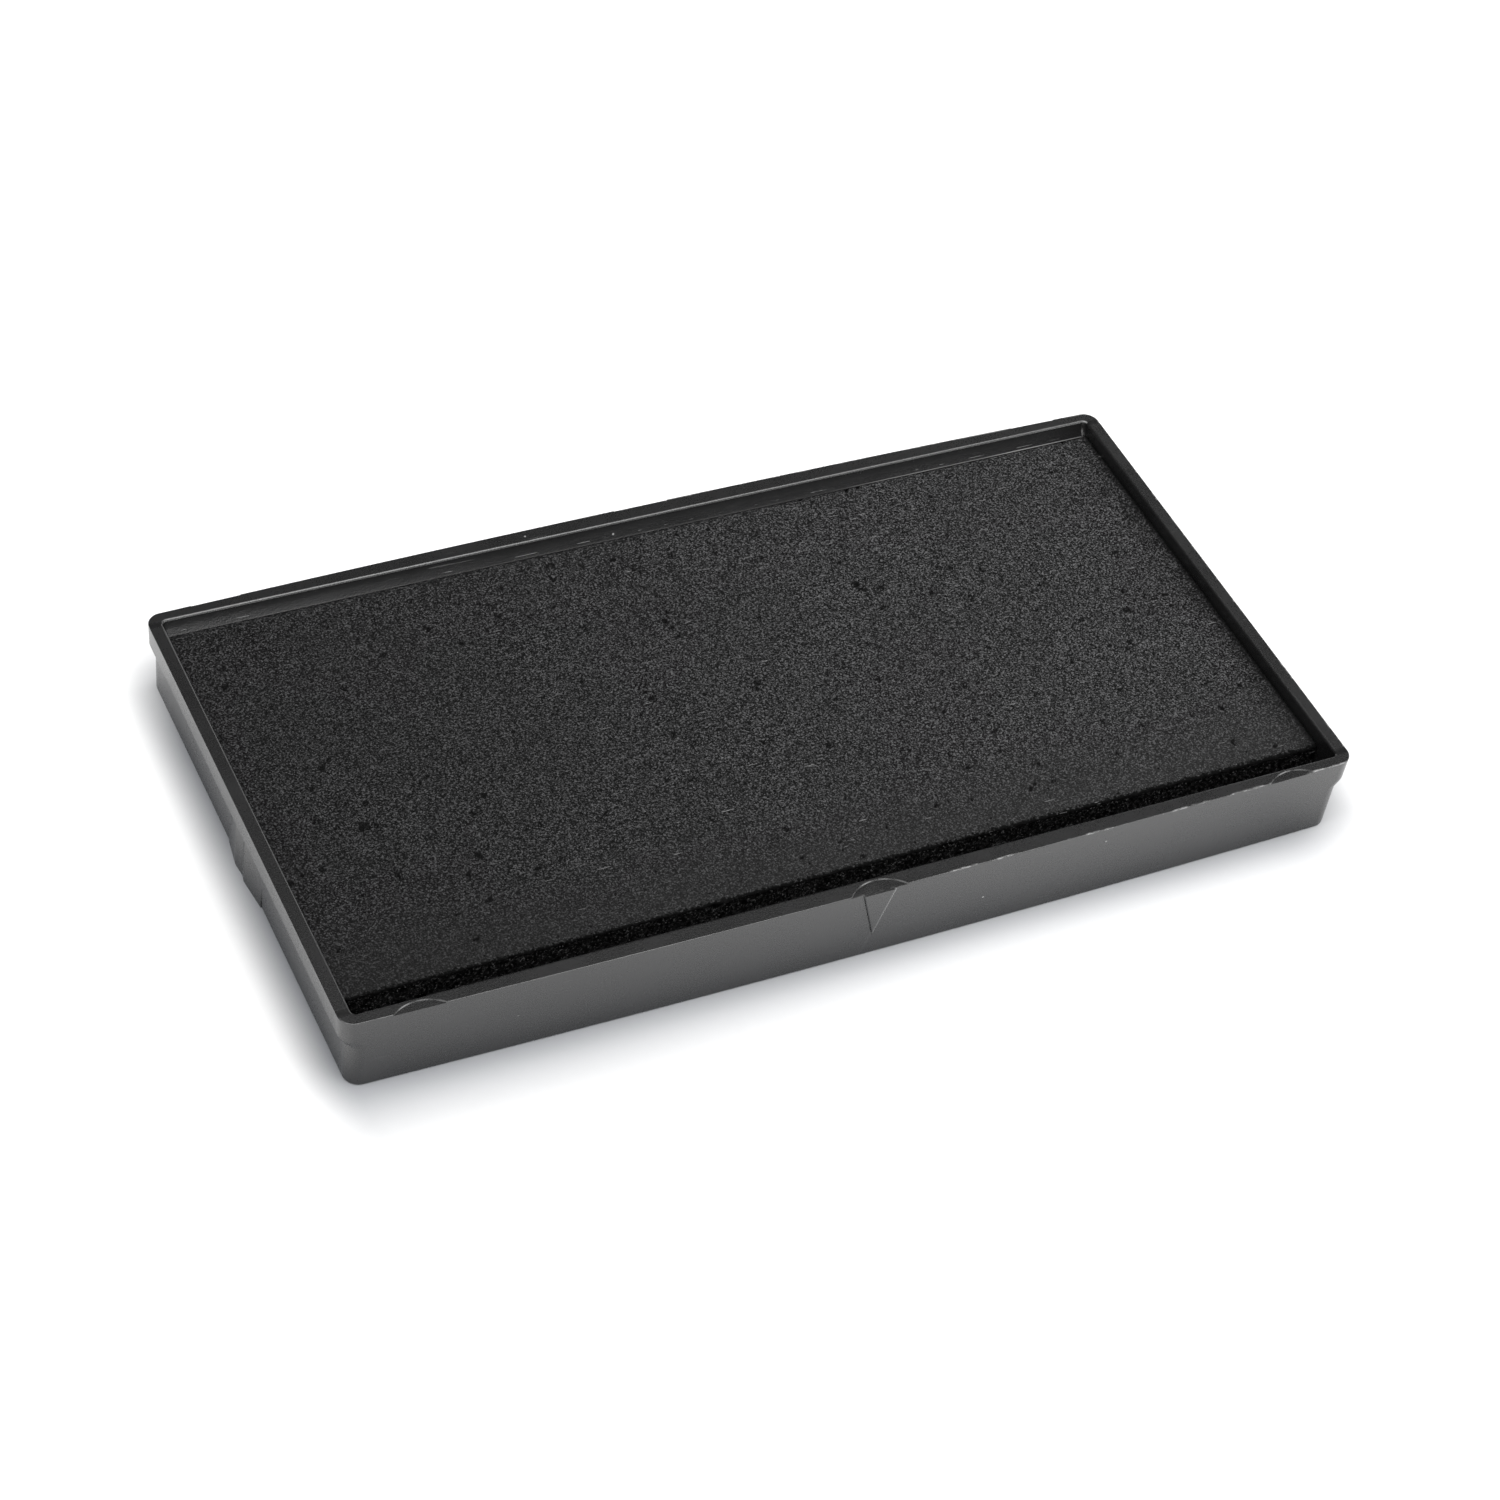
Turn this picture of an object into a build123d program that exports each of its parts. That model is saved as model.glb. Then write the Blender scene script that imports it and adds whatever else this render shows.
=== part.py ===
from build123d import *
import os

# Replacement ink pad of a self-inking stamp: a moulded tray that holds an ink-soaked foam pad.
#
# Units are millimetres. +X runs along the long side, -Y points at the long side with the arrow,
# and +Z is up. The origin is the centre of the underside, where the tray stands.

# Driving dimensions of the tray
LENGTH = 79.5           # outside length over the two guide flanges
WIDTH = 41.3            # outside width at the corners
BOW = 0.44              # how far each long side swells at its middle
HEIGHT = 6.6            # underside to rim
FLOOR = 1.2             # floor thickness
CORNER_R = 1.15         # vertical corners, outside
EDGE_R = 0.15           # bottom edge
RIM_R = 0.05            # outer edge of the rim

# Guide flanges along the two short sides. Each inset is measured in from the flange's top edge.
FLANGE_LOW = 4.75       # underside of the flange's flat side
FLANGE_INSET = 0.08     # draft of that side, at its underside
COVE_LOW = 3.85         # where the cove under the flange meets the body wall
COVE_INSET = 0.57
COVE_SECTIONS = 6
BASE_INSET = 0.67       # body wall at the underside

# Well that holds the pad
WELL_LENGTH = 77.4      # opening at the rim, along X
WELL_WIDTH = 39.5       # opening at the rim, along Y
WELL_R = 0.35           # vertical corners of the well
LIP_R = 0.2             # round along the inner edge of the rim
HOLLOW_TOP = 6.35       # where the two long walls start to curve in, under the rim
HOLLOW_BEND = 1.25      # power of that curve, where 1 would be a straight slope
SHELF_LOW = 5.27        # where that curve ends in an edge, level with the pad
SHELF_IN = 0.4          # how far the edge reaches into the well
HOLLOW_SECTIONS = 6
STEP_TOP = 3.0          # where the short walls step in under the upper foam
STEP_LOW = 2.6
STEP_IN = 0.4

# Arrow on the front wall, which shows which way the pad goes into the stamp
ARROW_WIDTH = 2.7
ARROW_TIP = 2.0         # height of its point
ARROW_OUT = 0.16        # how far it stands proud
ARROW_TAPER = 25        # slope of its flanks, in degrees
ARROW_EDGE_R = 0.08     # round between its face and its flanks
ARROW_ROOT = 0.3        # how far its root reaches into the wall

# Round ejector-pin marks sunk into the rim, in one row along each long wall
PIN_R = 2.95
PIN_DEEP = 0.08
PIN_SLOPE = 0.06        # how much wider a mark is at the top than at its floor
PIN_Y = 22.95           # the row's distance from the tray's middle, outside the wall
PIN_X = (-34.3, 0.0, 34.3)

# Detent nub at the middle of each short wall
DETENT_OUT = 0.3        # height of its peaks above the wall
DETENT_DIP = 0.19       # height of the notch between the peaks
DETENT_REAR = 3.3       # rear end of the ramp, along Y
DETENT_PEAK_Y = 1.2     # rear peak
DETENT_DIP_Y = -0.05    # notch
DETENT_CREST_Y = -0.6   # front peak
DETENT_FRONT = -3.35    # front end of the nub
DETENT_ROOT = 0.2       # how far its root reaches into the wall

# Gate mark in the middle of the underside
GATE_R = 2.2
GATE_DEEP = 0.25
GATE_PIP_R = 0.6
GATE_PIP_HIGH = 0.15

# Ink pad inside the well
PAD_TOP = 5.3           # printing face
PAD_SIDE_GAP = 0.03     # clearance to the walls
PAD_FRONT_GAP = 2.4     # the pad stops this far short of the front wall
FOAM_THICK = 1.9        # fine-pored upper layer
FILM_THICK = 0.15       # double-sided film that holds the pad down
JOINT_GAP = 0.02        # clearance between stacked layers


def bowed_outline(length, width, bow, corner_r):
    """Rectangle with rounded corners whose two long sides swell outward by bow."""
    x, y = length / 2, width / 2
    with BuildSketch() as outline:
        with BuildLine():
            ThreePointArc((-x, -y), (0, -y - bow), (x, -y))
            Line((x, -y), (x, y))
            ThreePointArc((x, y), (0, y + bow), (-x, y))
            Line((-x, y), (-x, -y))
        make_face()
        fillet(outline.vertices(), corner_r)
    return outline.sketch


def section(height, inset):
    """Outline of the tray at one height, with both short sides moved in by inset."""
    return Pos(0, 0, height) * bowed_outline(LENGTH - 2 * inset, WIDTH, BOW, CORNER_R)


def cove_sections():
    """Outlines that swell smoothly from the body wall to the underside of the flange."""
    sections = []
    for i in range(COVE_SECTIONS):
        t = i / (COVE_SECTIONS - 1)
        swell = t * t * (3 - 2 * t)
        height = COVE_LOW + t * (FLANGE_LOW - COVE_LOW)
        sections.append(section(height, COVE_INSET + swell * (FLANGE_INSET - COVE_INSET)))
    return sections


def outer_block():
    """Tray without its well: drafted body, coves under the flanges, and the flanges."""
    coves = cove_sections()
    body = loft([section(0, BASE_INSET), coves[0]], ruled=True)
    body = fillet(body.edges().group_by(Axis.Z)[0], EDGE_R)
    flanges = loft([coves[-1], section(HEIGHT, 0)], ruled=True)
    return body + loft(coves) + flanges


def well_block():
    """Space inside the tray: it narrows in a hollow curve at the long walls, by a step at the short."""
    lower_width = WELL_WIDTH - 2 * SHELF_IN
    lower_length = WELL_LENGTH - 2 * STEP_IN
    top = slab(WELL_LENGTH, WELL_WIDTH, HOLLOW_TOP, HEIGHT)
    hollow = loft(hollow_sections())
    middle = slab(WELL_LENGTH, lower_width, STEP_TOP, SHELF_LOW)
    step = loft_between(WELL_LENGTH, lower_width, STEP_TOP, lower_length, lower_width, STEP_LOW)
    bottom = slab(lower_length, lower_width, FLOOR, STEP_LOW)
    return top + hollow + middle + step + bottom


def hollow_sections():
    """Outlines of the well where its long walls curve in, from the lowest to the highest."""
    sections = []
    for i in range(HOLLOW_SECTIONS):
        t = 1 - i / (HOLLOW_SECTIONS - 1)
        height = HOLLOW_TOP + t * (SHELF_LOW - HOLLOW_TOP)
        width = WELL_WIDTH - 2 * SHELF_IN * t ** HOLLOW_BEND
        sections.append(Pos(0, 0, height) * RectangleRounded(WELL_LENGTH, width, WELL_R))
    return sections


def slab(length, width, low, high):
    """Block of the well between two heights."""
    block = Box(length, width, high - low, align=(Align.CENTER, Align.CENTER, Align.MIN))
    return Pos(0, 0, low) * fillet(block.edges().filter_by(Axis.Z), WELL_R)


def loft_between(length_a, width_a, height_a, length_b, width_b, height_b):
    """Straight-sided transition between two rounded rectangles at two heights."""
    upper = Pos(0, 0, height_a) * RectangleRounded(length_a, width_a, WELL_R)
    lower = Pos(0, 0, height_b) * RectangleRounded(length_b, width_b, WELL_R)
    return loft([lower, upper])


def arrow():
    """Flat triangle on the front wall, pointing down."""
    face_y = -WIDTH / 2 - BOW
    with BuildSketch(Plane.XZ) as triangle:
        with BuildLine():
            Polyline(
                (-ARROW_WIDTH / 2, HEIGHT),
                (ARROW_WIDTH / 2, HEIGHT),
                (0, ARROW_TIP),
                close=True,
            )
        make_face()
    proud = extrude(triangle.sketch, ARROW_OUT, taper=ARROW_TAPER)
    face = proud.faces().sort_by(Axis.Y)[0]
    proud = fillet(face.edges().filter_by(Axis.X, reverse=True), ARROW_EDGE_R)
    root = extrude(triangle.sketch, -ARROW_ROOT)
    return Pos(0, face_y, 0) * (proud + root)


def pin_marks():
    """Shallow discs cut into the rim of both long walls, each open to the outside."""
    disc = Cone(PIN_R - PIN_SLOPE, PIN_R, PIN_DEEP, align=(Align.CENTER, Align.CENTER, Align.MAX))
    return [Pos(x, side * PIN_Y, HEIGHT) * disc for x in PIN_X for side in (-1, 1)]


def detent(side):
    """Two-peaked nub on one short wall that clicks into the stamp's pad holder."""
    wall = LENGTH / 2 - (COVE_INSET + BASE_INSET) / 2
    outline = [
        (wall - DETENT_ROOT, DETENT_REAR),
        (wall, DETENT_REAR),
        (wall + DETENT_OUT, DETENT_PEAK_Y),
        (wall + DETENT_DIP, DETENT_DIP_Y),
        (wall + DETENT_OUT, DETENT_CREST_Y),
        (wall, DETENT_FRONT),
        (wall - DETENT_ROOT, DETENT_FRONT),
    ]
    with BuildSketch() as plan:
        with BuildLine():
            Polyline(*[(side * x, y) for x, y in outline], close=True)
        make_face()
    return extrude(plan.sketch, FLANGE_LOW)


def gate_mark():
    """Round dimple in the underside with the stub of the moulding gate in it."""
    base = (Align.CENTER, Align.CENTER, Align.MIN)
    dimple = Cylinder(GATE_R, GATE_DEEP, align=base)
    pip = Pos(0, 0, GATE_DEEP - GATE_PIP_HIGH) * Cylinder(GATE_PIP_R, GATE_PIP_HIGH, align=base)
    return dimple - pip


def shell():
    """Body, flanges and well, with the rim's inner and outer edges rounded."""
    part = outer_block() - well_block()
    rim = part.faces().sort_by(Axis.Z)[-1]
    part = fillet(rim.inner_wires()[0].edges(), LIP_R)
    rim = part.faces().sort_by(Axis.Z)[-1]
    return fillet(rim.outer_wire().edges(), RIM_R)


def tray():
    """Tray with its flanges, well, arrow, detents and moulding marks."""
    part = shell() + arrow()
    for side in (-1, 1):
        part += detent(side)
    for mark in pin_marks():
        part -= mark
    return part - gate_mark()


def pad_layer(low, high, length):
    """One block of the pad, cut short of the front wall."""
    back = WELL_WIDTH / 2 - SHELF_IN - PAD_SIDE_GAP
    front = -WELL_WIDTH / 2 + PAD_FRONT_GAP
    block = Box(length - 2 * PAD_SIDE_GAP, back - front, high - low)
    block = fillet(block.edges().filter_by(Axis.Z), WELL_R)
    return Pos(0, (back + front) / 2, (low + high) / 2) * block


def main():
    film_top = FLOOR + JOINT_GAP + FILM_THICK
    foam_low = PAD_TOP - FOAM_THICK
    narrow = WELL_LENGTH - 2 * STEP_IN
    nodes = {
        "tray": tray(),
        "inking_foam": pad_layer(foam_low, PAD_TOP, WELL_LENGTH),
        "reservoir_felt": pad_layer(film_top + JOINT_GAP, foam_low - JOINT_GAP, narrow),
        "adhesive_film": pad_layer(FLOOR + JOINT_GAP, film_top, narrow),
    }
    os.makedirs("parts", exist_ok=True)
    for name, shape in nodes.items():
        export_step(shape, f"parts/{name}.step")


main()
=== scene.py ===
import math

import bpy
import numpy as np
from mathutils import Matrix, Vector, noise


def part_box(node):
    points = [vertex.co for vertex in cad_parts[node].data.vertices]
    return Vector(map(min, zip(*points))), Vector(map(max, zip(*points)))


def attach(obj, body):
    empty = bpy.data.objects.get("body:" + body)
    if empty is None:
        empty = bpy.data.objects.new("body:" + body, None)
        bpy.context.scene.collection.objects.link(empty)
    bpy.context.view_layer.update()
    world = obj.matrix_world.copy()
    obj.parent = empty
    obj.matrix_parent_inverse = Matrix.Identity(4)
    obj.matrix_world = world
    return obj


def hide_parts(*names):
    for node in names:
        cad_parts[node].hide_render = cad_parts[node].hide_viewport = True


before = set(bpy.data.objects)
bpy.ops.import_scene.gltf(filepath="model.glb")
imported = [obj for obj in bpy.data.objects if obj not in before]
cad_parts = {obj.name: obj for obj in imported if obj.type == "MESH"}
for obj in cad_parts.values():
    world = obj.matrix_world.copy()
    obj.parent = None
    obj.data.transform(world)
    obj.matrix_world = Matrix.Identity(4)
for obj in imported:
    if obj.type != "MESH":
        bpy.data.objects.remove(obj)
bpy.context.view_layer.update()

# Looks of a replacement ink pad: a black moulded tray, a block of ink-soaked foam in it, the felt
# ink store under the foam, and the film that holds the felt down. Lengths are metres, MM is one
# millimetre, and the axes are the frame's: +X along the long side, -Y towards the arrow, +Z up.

MM = 0.001

# Camera: where it stands round the tray, with its lens and sensor in the camera's own millimetres
VIEW_AZIMUTH = math.radians(-31.5995)
VIEW_ELEVATION = math.radians(44.789)
VIEW_ROLL = math.radians(9.6364)
VIEW_TARGET = Vector((0.504, 0.025, 0.0)) * MM
VIEW_DISTANCE = 276.249 * MM
LENS = 88.78
SENSOR_WIDTH = 36.0
CLIP_START = 0.01
CLIP_END = 20.0

# Softboxes in three rings round the tray, all facing it: name, azimuth and elevation in degrees,
# and power in watts. Azimuth 0 is in front of the arrow. Their sizes and distance are in metres.
HIGH = 66
MIDDLE = 40
LOW = 14
SOFTBOXES = (
    ("right_high", 90, HIGH, 20.0),
    ("left_high", 270, HIGH, 30.0),
    ("front_high", 0, HIGH, 25.0),
    ("back_right_high", 135, HIGH, 3.0),
    ("front_right_high", 45, HIGH, 4.0),
    ("front_left_middle", 315, MIDDLE, 14.0),
    ("front_right_middle", 45, MIDDLE, 6.0),
    ("front_middle", 0, MIDDLE, 3.0),
    ("left_middle", 270, MIDDLE, 12.0),
    ("right_middle", 90, MIDDLE, 4.0),
    ("front_right_low", 45, LOW, 26.0),
    ("front_low", 0, LOW, 20.0),
    ("front_left_low", 315, LOW, 10.0),
    ("right_low", 90, LOW, 13.0),
    ("back_right_low", 135, LOW, 9.0),
    ("back_low", 180, LOW, 7.0),
)
SOFTBOX_SIZE = 1.4
SOFTBOX_DISTANCE = 3.0
OVERHEAD_SIZE = 2.4         # larger and so less bright, because the tray's top mirrors it
OVERHEAD_POWER = 45.0
WORLD_STRENGTH = 0.02

# Floor. Its painted contact shadow, a soft grey in its colour, fades out between two distances from
# the tray's box, on each side of it.
FLOOR_DARK = 0.92
FLOOR_PALE = 0.95
FLOOR_SIZE = 12.0
FLOOR_DROP = 0.01 * MM
SHADE_LEFT = (-1.5 * MM, 2.9 * MM)
SHADE_RIGHT = (-5.0 * MM, 7.8 * MM)
SHADE_FRONT = (-3.6 * MM, 8.3 * MM)
SHADE_BACK = (-9.0 * MM, 8.0 * MM)
SHADE_DEPTH = 0.85
SHADE_COLOUR = (0.10, 0.11, 0.13, 1.0)
# painted shade: the floor's colour darkens towards the front left, where less light falls
PAINTED_DIM_REACH = 50 * MM         # towards the front left the floor grows a little dimmer over this
PAINTED_DIM_DEPTH = 0.20

# Tray features that the materials mark, as in the CAD part
RIM_BOW = 0.44 * MM
HOLLOW_Y = 19.5 * MM        # middle of the hollow in each long wall of the well
HOLLOW_REACH = 0.4 * MM     # how far from there the hollow's finish fades out
HOLLOW_MIDDLE = 5.57 * MM   # height of the moulding line half way down the hollow, where a highlight is painted
PAD_LINE = 5.34 * MM        # height of the painted highlight line where the hollow meets the pad
ARROW_WIDTH = 2.7 * MM
ARROW_TIP = 2.0 * MM

# Plastic of the tray. Greys run from 0, black, to 1, white.
PLASTIC_IOR = 1.8
PLASTIC_ROUGHNESS = 0.20
PLASTIC_DARK = 0.004        # mottled between these two
PLASTIC_PALE = 0.009
MOTTLE_SIZE = 5 * MM
GRAIN_SIZE = 0.13 * MM
WAVE_SIZE = 9 * MM          # slow waviness of the moulded faces
HAIRLINE_GREY = 0.10
ARROW_HIGHLIGHT_GREY = 0.22            # painted highlight on the arrow's right edge
MARK_GREY = 0.30            # nicks, dust, and painted highlights on the nicks and the hollow
NICK_DROP = 0.12 * MM       # how far below the rim the nicks reach
NICK_INSET = 0.17 * MM      # and how far in from its outline
NICKS_ALONG = (-8 * MM, 3 * MM)         # they fade in from left to right between these
HIGHLIGHT_INSET = 0.12 * MM      # middle of the painted highlight line, in from the arrow's edge
HIGHLIGHT_WIDTH = 0.13 * MM
HIGHLIGHT_DEEP = (0.05 * MM, 0.2 * MM)       # it fades out between these depths behind the arrow's face
HOLLOW_LINE_WIDTH = 0.035 * MM
PAD_LINE_WIDTH = 0.06 * MM
PAD_LINE_ALONG = (15 * MM, 30 * MM)     # it brightens to the right between these
DUST_SPACING = 2.4 * MM
DUST_RADIUS = 0.11 * MM
DUST_SHARE = 0.42
HAIRLINE_WIDTH = 0.11 * MM
HAIRLINE_SHARE = 0.13
SCRATCH_SOFTNESS = 0.02     # step in the noise over which a hairline fades in

# Colours and cells of the inked foam
FOAM_CELL = 0.095 * MM
FOAM_GREY = 0.110           # the palest cells of its dry top
FOAM_WORN_GREY = 0.014      # patches pressed smooth
FOAM_FRONT_GREY = 0.021     # even veil over the front of the top
FOAM_FRONT_REACH = 9 * MM
FOAM_WALL_SHADE_GREY = 0.002    # painted shade along the right wall, in a wide and a narrow band
FOAM_WALL_SHADE_WIDE = 2.4 * MM
FOAM_WALL_SHADE_NARROW = (0.1 * MM, 0.5 * MM)
INK_AND_SHADE_GREY = 0.0005           # bottom of the pores, and the sunk and torn parts: ink black, partly painted shade
WET_GLINT_GREY = 0.14         # painted highlights: glints of the wet cell walls on the cut face
FLUFF_GREY = 0.15
LINT_GREY = 0.22
SUNK_DEPTH = (0.04 * MM, 0.16 * MM)     # the top's colour turns to ink black between these depths, partly as painted shade
WET_DEPTH = (0.16 * MM, 0.40 * MM)      # and to that of the wet sides, black partly as painted shade, between these
FRAY = 1.1 * MM             # greatest reach of the noise that frays the front edge
FRAY_EDGE = (0.42 * MM, 0.48 * MM)      # the foam is torn where that reach is past these

# Foam block
FOAM_PITCH = (0.16 * MM, 0.25 * MM)     # grid steps along X and Y
FOAM_CORNER = 0.35 * MM
FOAM_SKEW = 0.13 * MM       # the front cut runs out of square by this over the pad's length
FOAM_SKEW_REACH = 1.2 * MM  # and the foam behind it follows over this
FOAM_RISE = 0.17 * MM       # the foam stands up where the right wall squeezes it
FOAM_RISE_WIDTH = 0.9 * MM
FOAM_RISE_DEPTH = 1.0 * MM  # only this far below the top
FOAM_GRAIN = 0.022 * MM     # height of the cell structure on the top
FOAM_GRAIN_SIZE = 0.30 * MM
FOAM_CUT = 0.15 * MM        # depth of the torn cells on the cut front face
FOAM_CUT_SIZE = 0.35 * MM
FOAM_EDGE_CUT = 1.3         # the front's top edge is torn this many times as deep
FOAM_EDGE_BAND = 0.2 * MM   # points of the top's outline this near the front are on that edge
FOAM_SIDE_CUT = 0.25        # the other sides are torn inward by this share of FOAM_CUT
FOAM_EDGE = 0.06 * MM       # width of the round of the top's edges
FOAM_EDGE_DROP = 0.6        # and its depth, as a share of that
FOAM_SWELL = 0.03 * MM      # height of the top's broad unevenness
FOAM_SWELL_SIZE = 9 * MM
PORE_COUNT = 300
PORE_SEED = 7
PORE_RADIUS = (0.12 * MM, 0.20 * MM)
PORE_DEPTH = (0.12 * MM, 0.34 * MM)
BIG_PORE_SHARE = 0.10
BIG_PORE_SCALE = 1.5
PIT_SPREAD = 0.7            # how far a pore's pits lie from its centre, in radii

# Felt block
FELT_PITCH = (0.35 * MM, 0.35 * MM)
FELT_CORNER = 0.35 * MM
FELT_FUZZ = 0.09 * MM       # depth of its uneven surface
FELT_FUZZ_SIZE = 0.7 * MM
FELT_DARK = 0.006
FELT_PALE = 0.040
FELT_BLOT = 0.010

# Adhesive film
FILM_DARK = (0.50, 0.47, 0.40, 1.0)
FILM_PALE = (0.62, 0.59, 0.52, 1.0)
FILM_STAIN = 0.015

SAME_HEIGHT = 1e-9          # points nearer in height than this are level


class Graph:
    """Adds nodes to one node tree. Most helpers return the output socket of a new node."""

    def __init__(self, tree):
        self.tree = tree
        tree.nodes.clear()

    def add(self, kind, inputs=None, **settings):
        node = self.tree.nodes.new(kind)
        for name, value in settings.items():
            setattr(node, name, value)
        for name, value in (inputs or {}).items():
            self.feed(node.inputs[name], value)
        return node

    def feed(self, socket, value):
        if isinstance(value, bpy.types.NodeSocket):
            self.tree.links.new(value, socket)
        else:
            socket.default_value = value

    def math(self, operation, *values):
        node = self.add("ShaderNodeMath", operation=operation)
        for socket, value in zip(node.inputs, values):
            self.feed(socket, value)
        return node.outputs[0]

    def product(self, *values):
        result = values[0]
        for value in values[1:]:
            result = self.math("MULTIPLY", result, value)
        return result

    def total(self, *values):
        result = values[0]
        for value in values[1:]:
            result = self.math("ADD", result, value)
        return result

    def place(self):
        return self.add("ShaderNodeTexCoord").outputs["Object"]

    def stretch(self, vector, scale, turn=(0.0, 0.0, 0.0)):
        node = self.add("ShaderNodeMapping", {"Vector": vector, "Scale": scale, "Rotation": turn})
        return node.outputs[0]

    def split(self, vector):
        return self.add("ShaderNodeSeparateXYZ", {"Vector": vector}).outputs

    def noise(self, vector, size, detail=2.0, rough=0.5):
        inputs = {"Vector": vector, "Scale": 1 / size, "Detail": detail, "Roughness": rough}
        return self.add("ShaderNodeTexNoise", inputs).outputs[0]

    def cells(self, vector, size):
        """Voronoi node, for both its distance and its colour."""
        return self.add("ShaderNodeTexVoronoi", {"Vector": vector, "Scale": 1 / size})

    def ramp(self, value, low, high, to_low=0.0, to_high=1.0):
        """Smooth step of value from to_low at low to to_high at high."""
        inputs = {
            "Value": value,
            "From Min": low,
            "From Max": high,
            "To Min": to_low,
            "To Max": to_high,
        }
        return self.add("ShaderNodeMapRange", inputs, interpolation_type="SMOOTHSTEP").outputs[0]

    def near(self, value, target, reach):
        """One where value is at target, falling to zero at reach away from it."""
        away = self.math("ABSOLUTE", self.math("SUBTRACT", value, target))
        return self.ramp(away, 0.0, reach, 1.0, 0.0)

    def mix(self, amount, first, second):
        node = self.add("ShaderNodeMix", data_type="RGBA")
        self.feed(node.inputs[0], amount)
        self.feed(node.inputs[6], first)
        self.feed(node.inputs[7], second)
        return node.outputs[2]

    def bump(self, height_mm):
        inputs = {"Height": height_mm, "Distance": MM, "Strength": 1.0}
        return self.add("ShaderNodeBump", inputs).outputs[0]

    def surface(self, **inputs):
        shader = self.add("ShaderNodeBsdfPrincipled")
        for name, value in inputs.items():
            self.feed(shader.inputs[name.replace("_", " ")], value)
        self.add("ShaderNodeOutputMaterial", {"Surface": shader.outputs[0]})


def new_material(name):
    material = bpy.data.materials.new(name)
    material.use_nodes = True
    return material, Graph(material.node_tree)


def grey(value, tint=0.0):
    """Neutral colour, a little bluer with tint."""
    return (value, value, value * (1 + tint), 1.0)


def specks(graph, place, spacing, radius, share):
    """Small dots, about one in each spacing, kept in only a share of the cells."""
    cells = graph.cells(place, spacing)
    chosen = graph.math("GREATER_THAN", graph.split(cells.outputs["Color"])[0], 1 - share)
    dot = graph.ramp(cells.outputs["Distance"], radius / spacing * 0.5, radius / spacing, 1.0, 0.0)
    return graph.product(chosen, dot)


def scratches(graph, place, turn, length, width, share):
    """Sparse hairlines along one direction."""
    along = graph.stretch(place, (1 / length, 1 / width, 1 / width), (0.0, 0.0, turn))
    lines = graph.noise(along, 1.0, 0.0)
    return graph.ramp(lines, 1 - share, 1 - share + SCRATCH_SOFTNESS)


def outline_distance(graph, x, y):
    """How far a point lies inside the tray's outline, seen from above."""
    _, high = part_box("tray")
    half_length = high.x
    half_width = high.y - RIM_BOW
    along = graph.math("DIVIDE", x, half_length)
    bow = graph.product(graph.math("SUBTRACT", 1.0, graph.product(along, along)), RIM_BOW)
    side = graph.math("SUBTRACT", graph.total(bow, half_width), graph.math("ABSOLUTE", y))
    end = graph.math("SUBTRACT", half_length, graph.math("ABSOLUTE", x))
    return graph.math("MINIMUM", side, end)


def rim_nicks_and_glints(graph, place, x, y, z):
    """Chips along the outer edge of the rim, painted pale: partly wear, partly painted highlight
    where the chips catch the light.
    """
    _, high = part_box("tray")
    edge = graph.product(
        graph.near(z, high.z, NICK_DROP),
        graph.near(outline_distance(graph, x, y), 0.0, NICK_INSET),
    )
    chips = graph.noise(graph.stretch(place, (0.4, 1.0, 1.0)), 0.7 * MM, 4.0, 0.7)
    return graph.product(edge, graph.ramp(chips, 0.48, 0.64), graph.ramp(x, *NICKS_ALONG))


def arrow_highlight(graph, x, y, z):
    """Painted highlight along the arrow's right edge, stronger towards the rim."""
    low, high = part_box("tray")
    slope = ARROW_WIDTH / 2 / (high.z - ARROW_TIP)
    edge = graph.product(graph.math("SUBTRACT", z, ARROW_TIP), slope)
    return graph.product(
        graph.near(x, graph.math("SUBTRACT", edge, HIGHLIGHT_INSET), HIGHLIGHT_WIDTH),
        graph.ramp(graph.math("SUBTRACT", y, low.y), *HIGHLIGHT_DEEP, 1.0, 0.0),
        graph.ramp(z, ARROW_TIP, high.z, 0.5, 1.0),
    )


def hollow_glints(graph, place, x, z, in_hollow):
    """Painted highlights: broken bright lines along the hollow, at its moulding line and at its edge
    at the pad.
    """
    dashes = graph.noise(graph.stretch(place, (0.22, 1.0, 1.0)), 0.5 * MM, 3.0, 0.6)
    runs = graph.noise(graph.stretch(place, (0.05, 1.0, 1.0)), 0.9 * MM, 2.0)
    line = graph.product(
        graph.near(z, HOLLOW_MIDDLE, HOLLOW_LINE_WIDTH),
        graph.ramp(dashes, 0.54, 0.62, 0.0, 0.6),
    )
    brink = graph.product(
        graph.near(z, PAD_LINE, PAD_LINE_WIDTH),
        graph.ramp(runs, 0.40, 0.55, 0.4, 1.0),
        graph.ramp(x, *PAD_LINE_ALONG, 0.1, 1.0),
    )
    return graph.product(graph.ramp(in_hollow, 0.0, 0.1), graph.math("MAXIMUM", line, brink))


def hairlines(graph, place):
    """Handling scratches in two directions."""
    return graph.math(
        "MAXIMUM",
        scratches(graph, place, math.radians(12), 5 * MM, HAIRLINE_WIDTH, HAIRLINE_SHARE),
        scratches(graph, place, math.radians(-71), 4 * MM, HAIRLINE_WIDTH, HAIRLINE_SHARE),
    )


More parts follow.
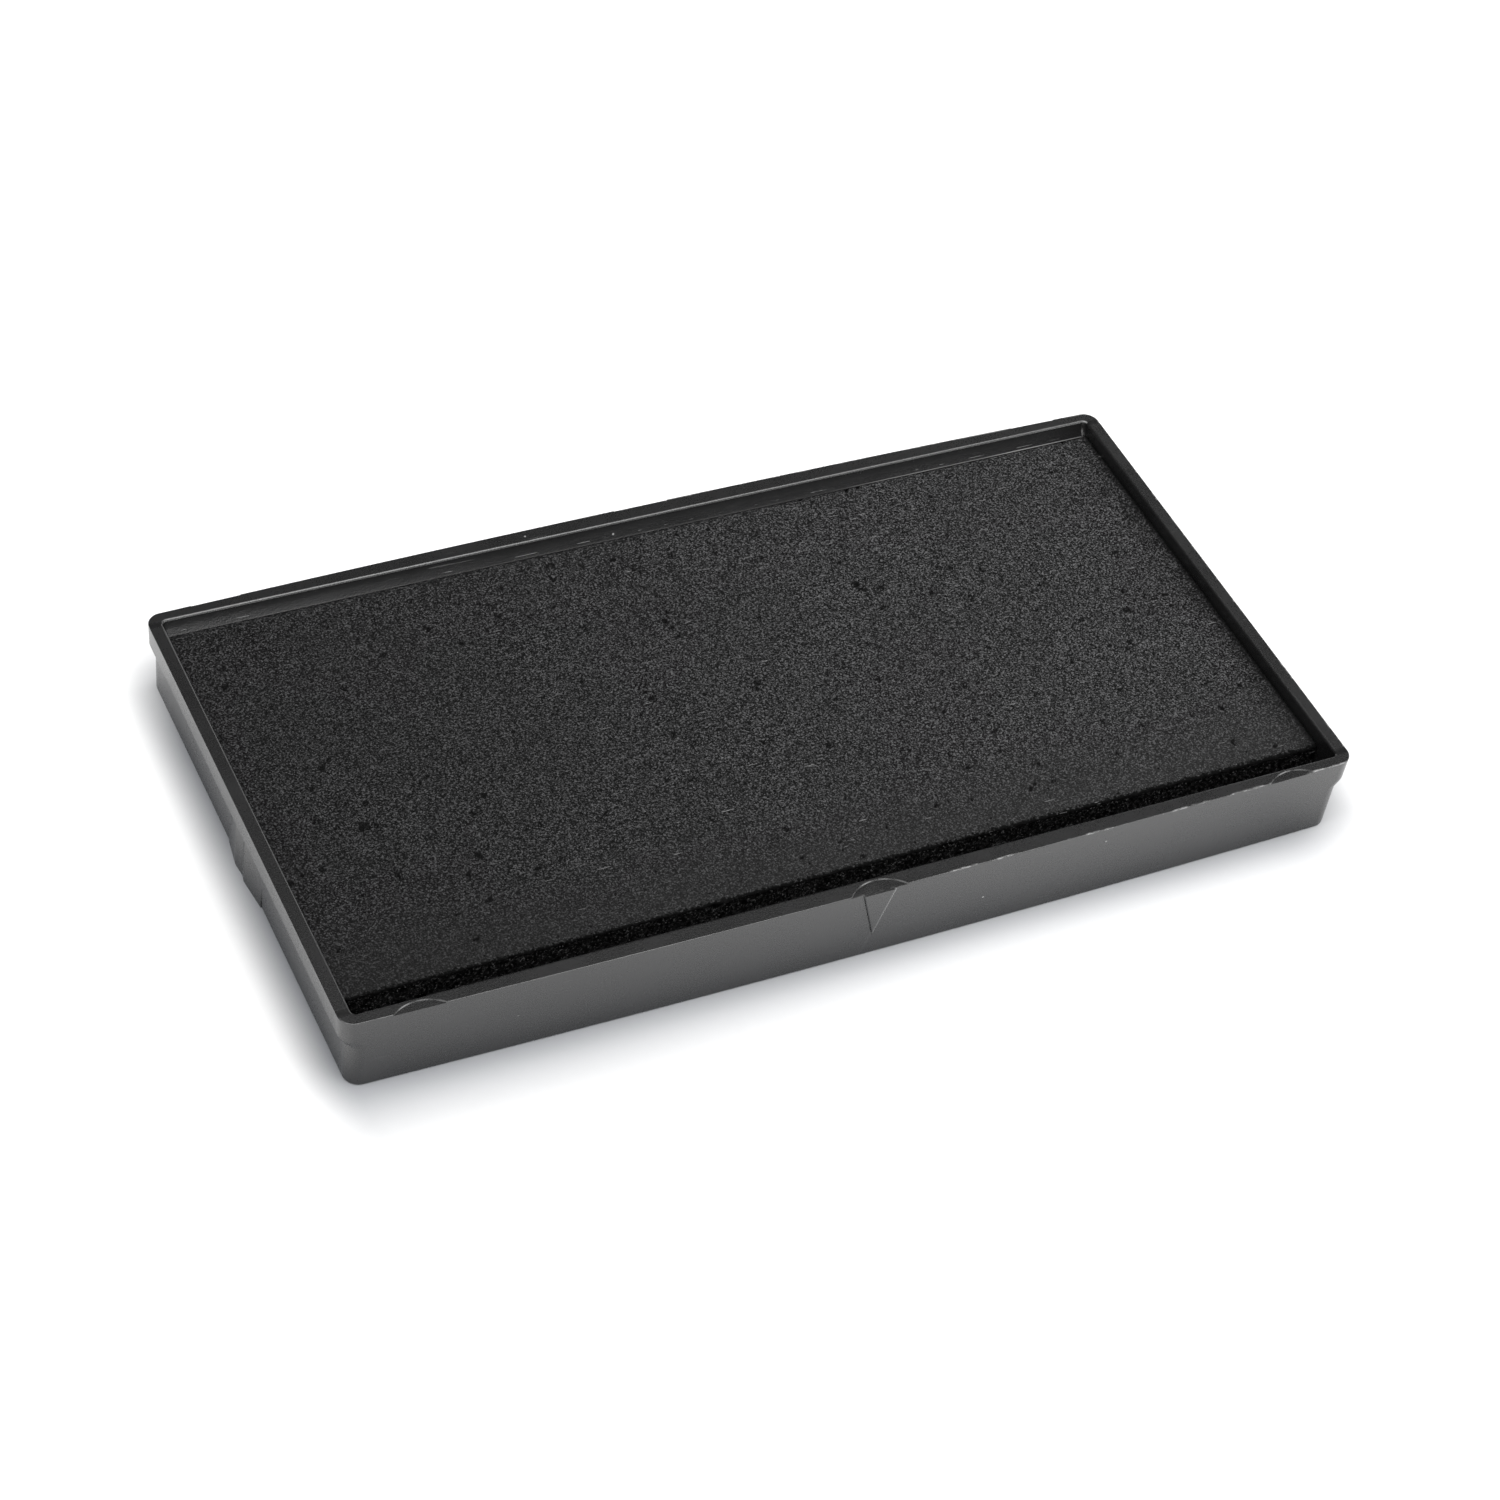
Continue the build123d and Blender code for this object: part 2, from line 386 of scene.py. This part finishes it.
def tray_plastic():
    """Satin black styrene with soft mottling, hairlines, dust and light nicks on its edges, and
    painted highlights on the nicks, the arrow's right edge and the hollow.
    """
    material, graph = new_material("satin_styrene")
    place = graph.place()
    x, y, z = graph.split(place)

    mottle = graph.noise(place, MOTTLE_SIZE, 3.0, 0.6)
    grain = graph.noise(place, GRAIN_SIZE, 2.0, 0.6)
    waves = graph.noise(place, WAVE_SIZE, 1.0)
    hairs = hairlines(graph, place)
    # chips on the rim edge, dented in the bump and painted pale as their highlights
    nicks_and_glints = rim_nicks_and_glints(graph, place, x, y, z)
    # painted highlight on the arrow's right edge, mixed in pale below
    wear_and_highlight = arrow_highlight(graph, x, y, z)
    in_hollow = graph.near(graph.math("ABSOLUTE", y), HOLLOW_Y, HOLLOW_REACH)
    # painted highlights along the hollow's lines
    glints = hollow_glints(graph, place, x, z, in_hollow)
    dust = specks(graph, place, DUST_SPACING, DUST_RADIUS, DUST_SHARE)
    marks_and_glints = graph.math("MAXIMUM", nicks_and_glints, graph.math("MAXIMUM", glints, dust))

    colour = graph.mix(mottle, grey(PLASTIC_DARK), grey(PLASTIC_PALE, 0.03))
    colour = graph.mix(graph.product(hairs, 0.35), colour, grey(HAIRLINE_GREY))
    colour = graph.mix(graph.product(wear_and_highlight, 0.8), colour, grey(ARROW_HIGHLIGHT_GREY))
    colour = graph.mix(graph.product(marks_and_glints, 0.8), colour, grey(MARK_GREY))
    roughness = graph.total(
        PLASTIC_ROUGHNESS,
        graph.product(mottle, 0.08),
        graph.product(grain, 0.08),
        graph.product(marks_and_glints, 0.2),
        graph.product(in_hollow, -0.08),
    )
    height = graph.total(
        graph.product(waves, 0.030),
        graph.product(grain, 0.010),
        graph.product(hairs, -0.002),
        graph.product(nicks_and_glints, -0.020),
    )
    graph.surface(Base_Color=colour, Roughness=roughness, Normal=graph.bump(height), IOR=PLASTIC_IOR)
    return material


def stray_fibres(graph, place, x):
    """Fluff in small tufts all over the foam, and lint in patches on its right half."""
    low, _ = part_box("inking_foam")
    fluff = specks(graph, place, spacing=1.1 * MM, radius=0.07 * MM, share=0.14)
    lint = scratches(graph, place, math.radians(35), length=1.6 * MM, width=0.10 * MM, share=0.20)
    patch = graph.ramp(graph.noise(place, 4 * MM, 1.0), 0.50, 0.56)
    return fluff, graph.product(lint, patch, graph.ramp(x, low.x, 0.0))


def veil_foam(graph, colour, x, y, patches):
    """Shifts the foam's tone in broad areas: worn patches, front, painted shade on the left, and
    painted shade along the right wall.
    """
    low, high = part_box("inking_foam")
    wear_and_highlight = graph.ramp(patches, 0.3, 0.7, 0.0, 0.15)
    front = graph.ramp(y, low.y, low.y + FOAM_FRONT_REACH, 0.5, 0.0)
    # painted shade: the foam grows darker towards the left
    left_shade = graph.ramp(x, low.x * 1.3, high.x * 0.9, 0.54, 0.06)
    # painted shade along the right wall, in a wide and a narrow band
    right_gap = graph.math("SUBTRACT", high.x, x)
    wide = graph.ramp(right_gap, 0.0, FOAM_WALL_SHADE_WIDE, 0.4, 0.0)
    narrow = graph.ramp(right_gap, *FOAM_WALL_SHADE_NARROW, 0.75, 0.0)
    colour = graph.mix(wear_and_highlight, colour, grey(FOAM_WORN_GREY))
    colour = graph.mix(front, colour, grey(FOAM_FRONT_GREY))
    colour = graph.mix(left_shade, colour, grey(0.0))
    colour = graph.mix(wide, colour, grey(FOAM_WALL_SHADE_GREY))
    return graph.mix(narrow, colour, grey(FOAM_WALL_SHADE_GREY))


def inked_foam():
    """Open-pored foam full of black ink: dull and grainy on top, wet and dark where cut, with its
    glisten painted on as highlights.
    """
    material, graph = new_material("inked_open_foam")
    place = graph.place()
    x, y, z = graph.split(place)
    low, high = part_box("inking_foam")
    depth = graph.math("SUBTRACT", high.z, z)

    struts = graph.cells(place, FOAM_CELL)
    strut_tone = graph.split(struts.outputs["Color"])[0]
    fine = graph.noise(place, 0.16 * MM, 2.0, 0.6)
    patches = graph.noise(place, 7 * MM, 3.0, 0.55)
    wet = graph.ramp(depth, *WET_DEPTH)
    sunk = graph.ramp(depth, *SUNK_DEPTH)
    holes = specks(graph, place, spacing=0.9 * MM, radius=0.12 * MM, share=0.35)
    frayed = graph.product(graph.noise(place, 0.25 * MM, 2.0, 0.7), FRAY)
    torn = graph.ramp(graph.math("SUBTRACT", frayed, graph.math("SUBTRACT", y, low.y)), *FRAY_EDGE)
    fluff, lint = stray_fibres(graph, place, x)

    tone = graph.product(strut_tone, strut_tone, graph.ramp(fine, 0.35, 0.65, 0.15, 1.45))
    dry = graph.mix(tone, grey(0.0), grey(FOAM_GREY, 0.02))
    dry = veil_foam(graph, dry, x, y, patches)
    dry = graph.mix(graph.math("MAXIMUM", holes, torn), dry, grey(INK_AND_SHADE_GREY))
    dry = graph.mix(graph.product(fluff, 0.8), dry, grey(FLUFF_GREY))
    dry = graph.mix(graph.product(lint, 0.7), dry, grey(LINT_GREY))
    # below the top the foam turns black: ink, and painted shade in the pores and at the edges
    dry = graph.mix(graph.product(sunk, 0.9), dry, grey(INK_AND_SHADE_GREY))
    # black wet sides with sparse painted highlights standing in for glints of the wet cell walls
    wet_and_glinting = graph.mix(graph.math("POWER", strut_tone, 10.0), grey(0.0), grey(WET_GLINT_GREY))
    height = graph.total(
        graph.product(fine, 0.03),
        graph.product(struts.outputs["Distance"], 0.02),
        graph.product(holes, -0.05),
    )
    graph.surface(
        Base_Color=graph.mix(wet, dry, wet_and_glinting),
        Roughness=graph.ramp(wet, 0.0, 1.0, 0.85, 0.45),
        Normal=graph.bump(height),
        Specular_IOR_Level=0.1,
    )
    return material


def inked_felt():
    """Needled felt: fibres lying every way, matted together by ink."""
    material, graph = new_material("inked_needle_felt")
    place = graph.place()
    fibres = []
    for turn in (20, 75, 130):
        along = graph.stretch(place, (0.12, 1.0, 0.6), (0.0, 0.0, math.radians(turn)))
        fibres.append(graph.noise(along, 0.12 * MM, 2.0))
    matted = graph.math("MAXIMUM", graph.math("MAXIMUM", fibres[0], fibres[1]), fibres[2])
    blotches = graph.noise(place, 6 * MM, 2.0)
    colour = graph.mix(graph.ramp(matted, 0.45, 0.75), grey(FELT_DARK), grey(FELT_PALE, 0.03))
    colour = graph.mix(graph.ramp(blotches, 0.4, 0.7, 0.0, 0.6), colour, grey(FELT_BLOT))
    graph.surface(
        Base_Color=colour,
        Roughness=graph.ramp(blotches, 0.3, 0.7, 0.75, 0.5),
        Normal=graph.bump(graph.product(matted, 0.10)),
        Sheen_Weight=0.15,
        Sheen_Roughness=0.5,
    )
    return material


def mounting_film():
    """Double-sided film: pale, slightly wrinkled, with ink soaked in along its edges."""
    material, graph = new_material("pale_film")
    place = graph.place()
    x, y, _ = graph.split(place)
    low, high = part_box("adhesive_film")
    middle = (low.y + high.y) / 2
    end = graph.math("SUBTRACT", high.x, graph.math("ABSOLUTE", x))
    across = graph.math("ABSOLUTE", graph.math("SUBTRACT", y, middle))
    side = graph.math("SUBTRACT", high.y - middle, across)
    inward = graph.math("MINIMUM", end, side)
    creep = graph.total(inward, graph.product(graph.noise(place, 3 * MM, 4.0, 0.6), -4 * MM))
    stain = graph.ramp(creep, -1.5 * MM, 1.0 * MM, 1.0, 0.0)
    weave = graph.noise(place, 0.4 * MM, 3.0)
    colour = graph.mix(weave, FILM_DARK, FILM_PALE)
    colour = graph.mix(stain, colour, grey(FILM_STAIN, 0.1))
    wrinkles = graph.noise(place, 6 * MM, 2.0)
    height = graph.total(graph.product(weave, 0.01), graph.product(wrinkles, 0.05))
    graph.surface(
        Base_Color=colour,
        Roughness=graph.ramp(weave, 0.3, 0.7, 0.35, 0.55),
        Normal=graph.bump(height),
    )
    return material


def studio_floor():
    """Plain white paper sweep with a faint tooth, with a painted contact shadow under and round the
    tray and painted shade towards the front left.
    """
    material, graph = new_material("paper_sweep")
    place = graph.place()
    x, y, _ = graph.split(place)
    low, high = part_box("tray")
    # painted contact shadow: the floor's colour greys near each side of the tray, fading out between
    # the SHADE distances
    left_shade = graph.ramp(graph.math("SUBTRACT", low.x, x), *SHADE_LEFT, 1.0, 0.0)
    right = graph.ramp(graph.math("SUBTRACT", x, high.x), *SHADE_RIGHT, 1.0, 0.0)
    front = graph.ramp(graph.math("SUBTRACT", low.y, y), *SHADE_FRONT, 1.0, 0.0)
    back = graph.ramp(graph.math("SUBTRACT", y, high.y), *SHADE_BACK, 1.0, 0.0)
    shade = graph.product(left_shade, right, front, back, SHADE_DEPTH)
    # painted shade, darker towards the front left
    painted_dim = graph.ramp(graph.total(x, y), 0.0, -PAINTED_DIM_REACH, 0.0, PAINTED_DIM_DEPTH)
    tooth = graph.noise(place, 0.8 * MM, 3.0)
    colour = graph.mix(tooth, grey(FLOOR_DARK), grey(FLOOR_PALE))
    colour = graph.mix(painted_dim, colour, grey(0.0))
    colour = graph.mix(shade, colour, SHADE_COLOUR)
    graph.surface(Base_Color=colour, Roughness=0.9, Normal=graph.bump(graph.product(tooth, 0.004)))
    return material


def smoothstep(value):
    value = np.clip(value, 0.0, 1.0)
    return value * value * (3 - 2 * value)


def relief(points, size, seed, octaves):
    """Fractal noise of about -1 to 1 at each point, with features of about the given size."""
    shift = Vector((seed * 3.7, seed * -1.9, seed * 0.7))
    values = []
    for x, y, z in points / size:
        values.append(noise.fractal(Vector((x, y, z)) + shift, 1.0, 2.0, octaves))
    return np.array(values)


def round_back_corners(u, v, half_x, half_y, radius):
    """Moves a rectangular grid so that its two corners at +Y follow an arc."""
    in_x = np.clip((np.abs(u) - (half_x - radius)) / radius, 0.0, 1.0)
    in_y = np.clip((v - (half_y - radius)) / radius, 0.0, 1.0)
    corner = (in_x > 0) & (in_y > 0)
    longest = np.maximum(in_x, in_y)
    length = np.maximum(np.hypot(in_x, in_y), 1e-9)
    shrink = np.where(corner, longest / length, 1.0)
    new_u = np.where(corner, np.sign(u) * (half_x - radius + in_x * shrink * radius), u)
    new_v = np.where(corner, np.sign(v) * (half_y - radius + in_y * shrink * radius), v)
    return new_u, new_v


def top_grid(half, pitch, corner):
    """Grid of points on a block's top, and each point's number by its place in the grid."""
    u, v = np.meshgrid(
        np.linspace(-half.x, half.x, round(2 * half.x / pitch[0]) + 1),
        np.linspace(-half.y, half.y, round(2 * half.y / pitch[1]) + 1),
        indexing="ij",
    )
    u, v = round_back_corners(u, v, half.x, half.y, corner)
    points = np.stack([u.ravel(), v.ravel(), np.full(u.size, half.z)], axis=1)
    return points, np.arange(u.size).reshape(u.shape)


def grid_faces(index):
    """Squares between neighbouring points of a grid."""
    return list(zip(
        index[:-1, :-1].ravel(), index[1:, :-1].ravel(), index[1:, 1:].ravel(), index[:-1, 1:].ravel()
    ))


def grid_border(index):
    """Numbers of the points round a grid's edge, in order."""
    return np.concatenate([index[:-1, 0], index[-1, :-1], index[:0:-1, -1], index[0, :0:-1]])


def outward_directions(outline):
    """Unit vector that points out of a closed outline, at each of its points."""
    ahead = np.roll(outline, -1, axis=0) - np.roll(outline, 1, axis=0)
    outward = np.stack([ahead[:, 1], -ahead[:, 0]], axis=1)
    return outward / np.linalg.norm(outward, axis=1)[:, None]


def block_grid(node, pitch, corner):
    """Block in a CAD node's box: a grid on top, rows of points down its sides, and one point that
    closes the underside. Returns the points, faces, outward direction of each side point (zero
    elsewhere), depth of each point below the top, and numbers of the points round the top."""
    low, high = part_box(node)
    half = (high - low) / 2
    top, index = top_grid(half, pitch, corner)
    faces = grid_faces(index)
    ring = grid_border(index)
    outline = top[ring, :2]
    outward = outward_directions(outline)

    rows = max(2, round(2 * half.z / pitch[1]))
    points = [top]
    directions = [np.zeros((len(top), 2))]
    above = ring
    start = len(top)
    for row in range(1, rows + 1):
        height = half.z - 2 * half.z * row / rows
        points.append(np.column_stack([outline, np.full(len(ring), height)]))
        directions.append(outward)
        below = start + np.arange(len(ring))
        faces += zip(above, below, np.roll(below, -1), np.roll(above, -1))
        above = below
        start += len(ring)
    points.append(np.array([[0.0, 0.0, -half.z]]))
    directions.append(np.zeros((1, 2)))
    faces += [(first, second, start) for first, second in zip(np.roll(above, -1), above)]
    points = np.concatenate(points) + np.array((low + high) / 2)
    return points, faces, np.concatenate(directions), high.z - points[:, 2], ring


def make_piece(name, points, faces, material, node):
    """Turns points and faces into a smooth-shaded piece that stands for a CAD node."""
    mesh = bpy.data.meshes.new(name)
    mesh.from_pydata(points.tolist(), [], [tuple(int(i) for i in face) for face in faces])
    mesh.validate()
    mesh.polygons.foreach_set("use_smooth", [True] * len(mesh.polygons))
    mesh.materials.append(material)
    piece = bpy.data.objects.new(name, mesh)
    bpy.context.scene.collection.objects.link(piece)
    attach(piece, "root")
    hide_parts(node)
    return piece


def sink_pores(points, top_count, low, high):
    """Presses small irregular pits into the top of the foam."""
    random = np.random.default_rng(PORE_SEED)
    flat = points[:top_count]
    for _ in range(PORE_COUNT):
        centre = random.uniform([low.x, low.y], [high.x, high.y])
        radius = random.uniform(*PORE_RADIUS)
        if random.random() < BIG_PORE_SHARE:
            radius *= BIG_PORE_SCALE
        depth = random.uniform(*PORE_DEPTH)
        for _ in range(random.integers(1, 4)):
            spot = centre + random.normal(0.0, PIT_SPREAD, 2) * radius
            away = np.hypot(flat[:, 0] - spot[0], flat[:, 1] - spot[1]) / radius
            near = away < 1
            flat[near, 2] -= depth * (1 - away[near] ** 2)


def shape_foam_top(points, depth, low, high):
    """Gives the foam's top its cells, swells, round edges, pores, and its rise at the right wall."""
    on_top = depth < SAME_HEIGHT
    cells = relief(points, FOAM_GRAIN_SIZE, seed=1, octaves=2)
    swell = relief(points, FOAM_SWELL_SIZE, seed=2, octaves=2)
    rise = FOAM_RISE * smoothstep(1 - (high.x - points[:, 0]) / FOAM_RISE_WIDTH) ** 2
    points[:, 2] += np.where(depth < FOAM_RISE_DEPTH, rise, 0.0)
    points[on_top, 2] += FOAM_GRAIN * cells[on_top] + FOAM_SWELL * swell[on_top]

    edge = np.minimum.reduce([
        high.x - points[:, 0], points[:, 0] - low.x, high.y - points[:, 1], points[:, 1] - low.y
    ])
    rounding = np.clip(1 - edge / FOAM_EDGE, 0.0, 1.0) ** 2
    points[on_top, 2] -= FOAM_EDGE_DROP * FOAM_EDGE * rounding[on_top]
    sink_pores(points, int(on_top.sum()), low, high)


def tear_foam_sides(points, outward, ring, tear, low, high):
    """Skews and tears the cut front, and roughens the other sides inward."""
    front_reach = np.clip(1 - (points[:, 1] - low.y) / FOAM_SKEW_REACH, 0.0, 1.0)
    along = (points[:, 0] - low.x) / (high.x - low.x)
    points[:, 1] -= FOAM_SKEW * along * front_reach
    at_front = outward[:, 1] < -0.5
    ragged = np.where(at_front, FOAM_CUT * tear, -FOAM_SIDE_CUT * FOAM_CUT * np.abs(tear))
    points[:, :2] += ragged[:, None] * outward
    front_ring = ring[points[ring, 1] < low.y + FOAM_EDGE_BAND]
    points[front_ring, 1] -= FOAM_EDGE_CUT * FOAM_CUT * tear[front_ring]


def foam_block(material):
    """Inking foam: grainy top with pores, a ragged cut front, and a lifted edge at the right wall."""
    low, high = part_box("inking_foam")
    points, faces, outward, depth, ring = block_grid("inking_foam", FOAM_PITCH, FOAM_CORNER)
    tear = relief(points, FOAM_CUT_SIZE, seed=3, octaves=3)
    shape_foam_top(points, depth, low, high)
    tear_foam_sides(points, outward, ring, tear, low, high)
    piece = make_piece("ink_foam", points, faces, material, "inking_foam")


def felt_block(material):
    """Felt ink store under the foam, with a matted, slightly uneven surface."""
    points, faces, outward, depth, _ = block_grid("reservoir_felt", FELT_PITCH, FELT_CORNER)
    fuzz = np.abs(relief(points, FELT_FUZZ_SIZE, seed=5, octaves=3))
    on_top = depth < SAME_HEIGHT
    points[on_top, 2] -= FELT_FUZZ * fuzz[on_top]
    points[:, :2] -= FELT_FUZZ * fuzz[:, None] * outward
    piece = make_piece("ink_felt", points, faces, material, "reservoir_felt")


def direction(azimuth, elevation):
    """Unit vector from the object towards a place round it; azimuth 0 is the -Y side."""
    level = math.cos(elevation)
    return Vector((math.sin(azimuth) * level, -math.cos(azimuth) * level, math.sin(elevation)))


def dress_cad_nodes():
    """Gives the CAD nodes that stay their procedural materials."""
    for node, material in (("tray", tray_plastic()), ("adhesive_film", mounting_film())):
        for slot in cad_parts[node].material_slots:
            slot.material = material


def lay_floor():
    mesh = bpy.data.meshes.new("floor")
    half = FLOOR_SIZE / 2
    corners = [(-half, -half), (half, -half), (half, half), (-half, half)]
    mesh.from_pydata([(x, y, -FLOOR_DROP) for x, y in corners], [], [(0, 1, 2, 3)])
    mesh.materials.append(studio_floor())
    floor = bpy.data.objects.new("floor", mesh)
    bpy.context.scene.collection.objects.link(floor)


def hang_softbox(name, azimuth, elevation, size, power):
    light = bpy.data.lights.new(name, "AREA")
    light.size = size
    light.energy = power
    lamp = bpy.data.objects.new(name, light)
    away = direction(math.radians(azimuth), math.radians(elevation))
    lamp.location = away * SOFTBOX_DISTANCE
    lamp.rotation_mode = "QUATERNION"
    lamp.rotation_quaternion = away.to_track_quat("Z", "Y")
    lamp.visible_camera = False
    bpy.context.scene.collection.objects.link(lamp)


def hang_softboxes():
    hang_softbox("overhead", 0, 90, OVERHEAD_SIZE, OVERHEAD_POWER)
    for name, azimuth, elevation, power in SOFTBOXES:
        hang_softbox(name, azimuth, elevation, SOFTBOX_SIZE, power)


def light_world():
    world = bpy.data.worlds.new("studio")
    world.use_nodes = True
    graph = Graph(world.node_tree)
    sky = graph.add("ShaderNodeBackground", {"Color": grey(1.0), "Strength": WORLD_STRENGTH})
    graph.add("ShaderNodeOutputWorld", {"Surface": sky.outputs[0]})
    bpy.context.scene.world = world


def aim_camera():
    camera = bpy.data.cameras.new("camera")
    camera.lens = LENS
    camera.sensor_width = SENSOR_WIDTH
    camera.clip_start = CLIP_START
    camera.clip_end = CLIP_END
    back = direction(VIEW_AZIMUTH, VIEW_ELEVATION)
    level = (-back).cross(Vector((0, 0, 1))).normalized()
    upright = level.cross(-back)
    side = math.cos(VIEW_ROLL) * level + math.sin(VIEW_ROLL) * upright
    up = -math.sin(VIEW_ROLL) * level + math.cos(VIEW_ROLL) * upright
    stand = Matrix((side, up, back)).transposed().to_4x4()
    stand.translation = VIEW_TARGET + back * VIEW_DISTANCE
    holder = bpy.data.objects.new("camera", camera)
    holder.matrix_world = stand
    bpy.context.scene.collection.objects.link(holder)
    bpy.context.scene.camera = holder


bpy.context.scene.view_settings.view_transform = "Standard"
aim_camera()
light_world()
hang_softboxes()
lay_floor()
dress_cad_nodes()
foam_block(inked_foam())
felt_block(inked_felt())
